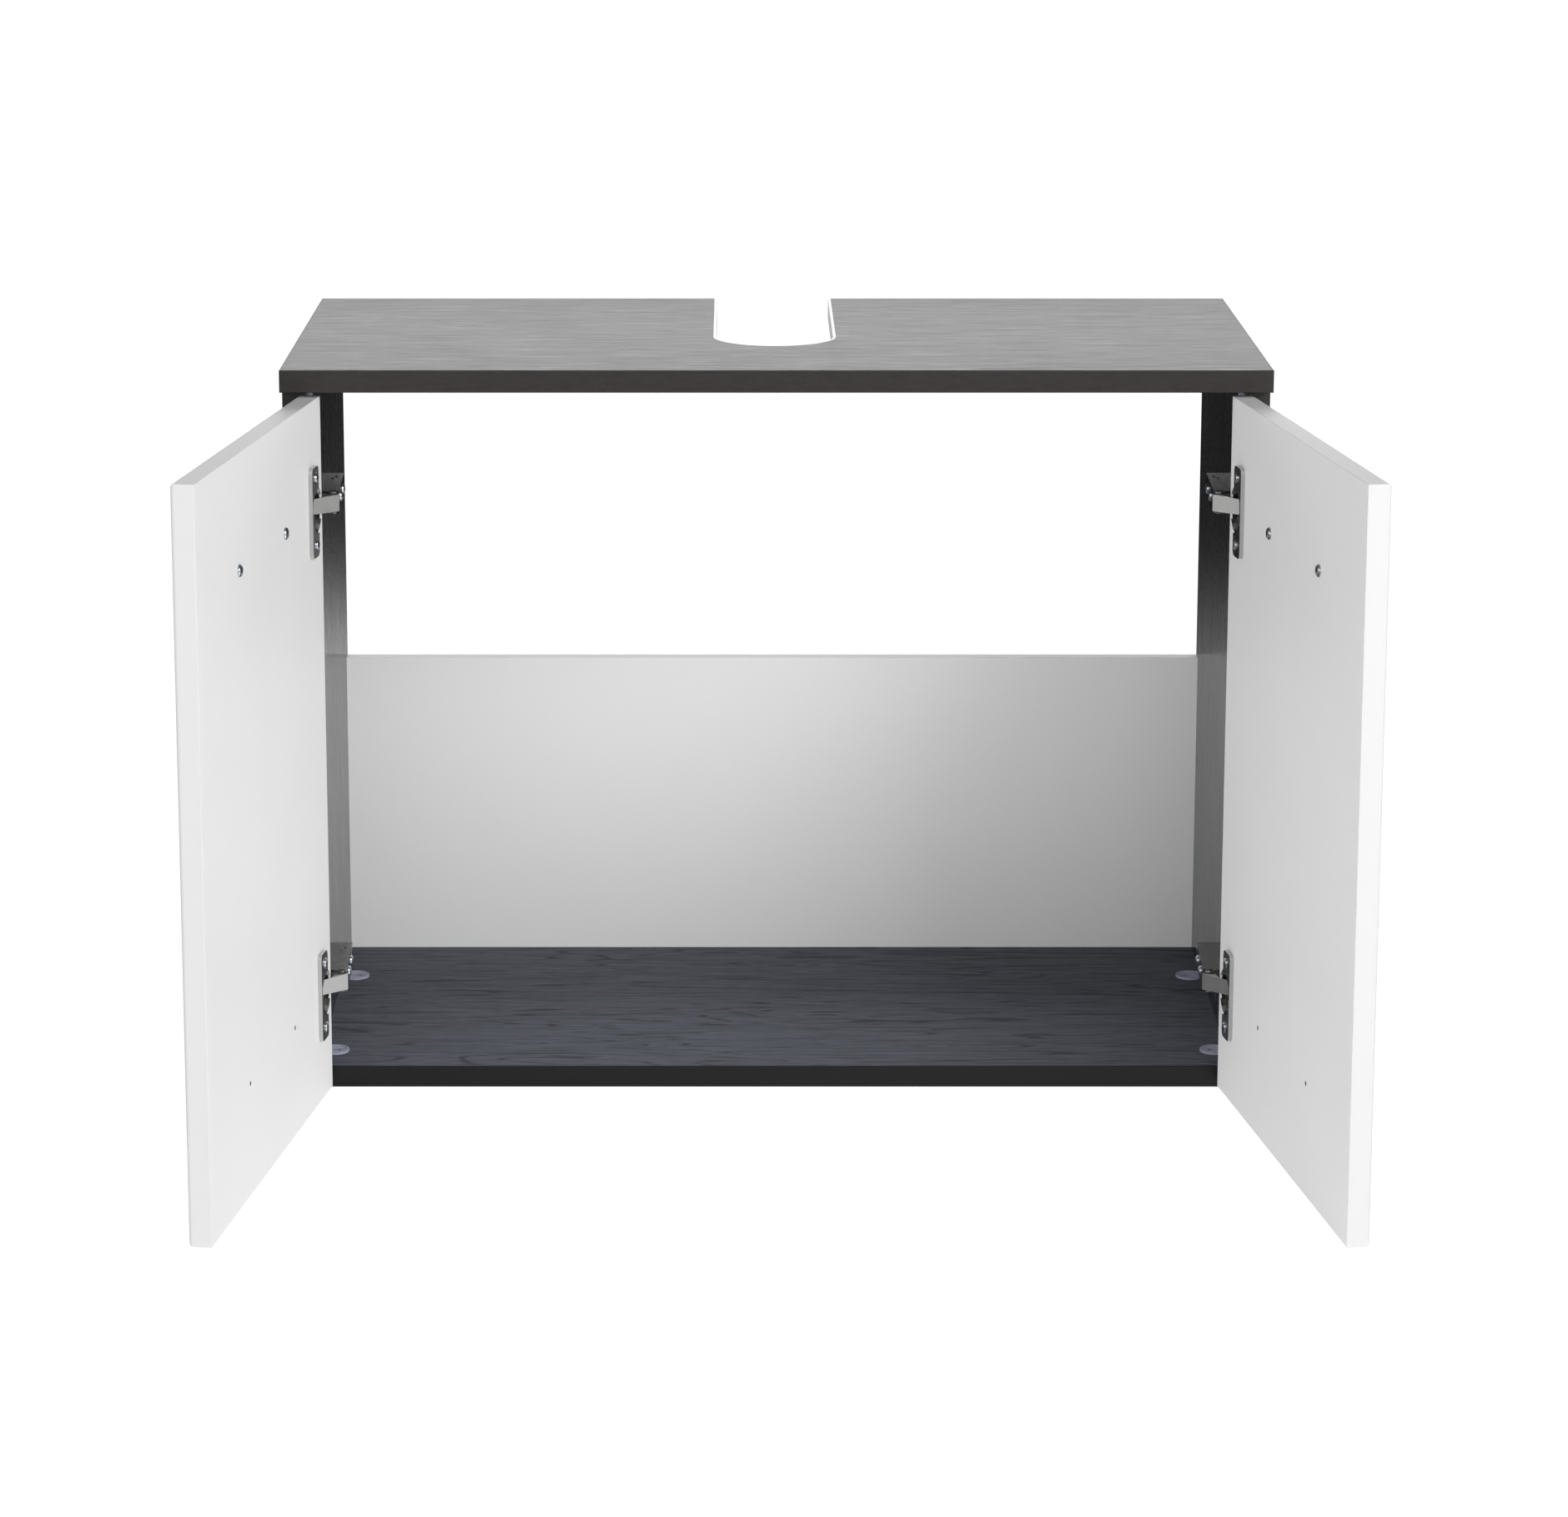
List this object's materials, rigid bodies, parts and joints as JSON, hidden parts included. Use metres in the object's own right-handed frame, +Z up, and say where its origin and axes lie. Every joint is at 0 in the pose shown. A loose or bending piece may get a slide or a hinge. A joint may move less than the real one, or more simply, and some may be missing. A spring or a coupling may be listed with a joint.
{
  "type": "sink base cabinet",
  "caption": "Low floor-standing cabinet with a drain cut-out open to the back of its top, a half-height back panel and a pair of overlay doors on concealed cup hinges.",
  "frame": {"origin": "middle of the floor panel's underside, halfway along the side panels' depth", "axes": "+X to the cabinet's right seen from the front, +Y to the back, +Z up"},
  "size_m": [0.795, 0.6833, 0.533],
  "materials": {
    "dark_wood_decor": "melamine-faced chipboard, dark grey wood decor, fine embossed grain",
    "dark_edge_band": "thin plastic edge band in the decor's colour",
    "white_edging": "white plastic edge band, satin",
    "white_melamine": "white melamine-faced chipboard, satin",
    "gloss_white_foil": "fibreboard wrapped in gloss white foil",
    "nickel_plated_steel": "pressed steel, bright nickel plated",
    "zinc_plated_steel": "turned steel, zinc plated",
    "satin_steel_handle": "satin steel",
    "connector_plastic": "moulded blue-grey plastic",
    "zinc_cast_cam": "die-cast zinc, dark",
    "beech_dowel": "turned beech"
  },
  "bodies": {
    "carcass": {"top_panel": "dark_wood_decor", "top_edge_bands": "dark_edge_band", "cutout_edging": "white_edging", "left_side_panel": "dark_wood_decor", "left_side_edge_band": "dark_edge_band", "right_side_panel": "dark_wood_decor", "right_side_edge_band": "dark_edge_band", "floor_panel": "dark_wood_decor", "floor_edge_band": "dark_edge_band", "back_panel": "white_melamine", "back_panel_edge_band": "white_edging", "floor_connector_housings": "connector_plastic", "floor_connector_cams": "zinc_cast_cam", "floor_connector_bolts": "zinc_plated_steel", "top_connector_housings": "connector_plastic", "top_connector_cams": "zinc_cast_cam", "top_connector_bolts": "zinc_plated_steel", "floor_dowels": "beech_dowel", "top_dowels": "beech_dowel", "back_panel_dowels": "beech_dowel", "left_mounting_plates": "nickel_plated_steel", "right_mounting_plates": "nickel_plated_steel", "left_plate_screws": "zinc_plated_steel", "right_plate_screws": "zinc_plated_steel", "left_hinge_arms": "nickel_plated_steel", "right_hinge_arms": "nickel_plated_steel", "left_arm_screws": "zinc_plated_steel", "right_arm_screws": "zinc_plated_steel", "left_arm_pins": "zinc_plated_steel", "right_arm_pins": "zinc_plated_steel"},
    "left_door": {"left_door_panel": "gloss_white_foil", "left_handle": "satin_steel_handle", "left_handle_screws": "zinc_plated_steel", "left_hinge_cups": "nickel_plated_steel", "left_cup_screws": "zinc_plated_steel", "left_cup_pins": "zinc_plated_steel"},
    "left_links": {"left_hinge_links": "nickel_plated_steel"},
    "right_door": {"right_door_panel": "gloss_white_foil", "right_handle": "satin_steel_handle", "right_handle_screws": "zinc_plated_steel", "right_hinge_cups": "nickel_plated_steel", "right_cup_screws": "zinc_plated_steel", "right_cup_pins": "zinc_plated_steel"},
    "right_links": {"right_hinge_links": "nickel_plated_steel"}
  },
  "joints": [
    {"name": "left_link_swing", "type": "hinge", "parent": "carcass", "child": "left_links", "pos_m": [-0.3153, -0.15915, 0.258], "axis": [0, 0, 1], "range_deg": [-27.47, 0]},
    {"name": "left_door_turn", "type": "hinge", "parent": "left_links", "child": "left_door", "pos_m": [-0.33, -0.17901, 0.258], "axis": [0, 0, 1], "range_deg": [0, 125.76]},
    {"name": "right_link_swing", "type": "hinge", "parent": "carcass", "child": "right_links", "pos_m": [0.3153, -0.15915, 0.258], "axis": [0, 0, -1], "range_deg": [-27.47, 0]},
    {"name": "right_door_turn", "type": "hinge", "parent": "right_links", "child": "right_door", "pos_m": [0.33, -0.17901, 0.258], "axis": [0, 0, -1], "range_deg": [0, 125.76]}
  ],
  "couplings": [
    {"joint": "left_link_swing", "follows": "left_door_turn", "ratio": -0.21835},
    {"joint": "right_link_swing", "follows": "right_door_turn", "ratio": -0.21835}
  ]
}
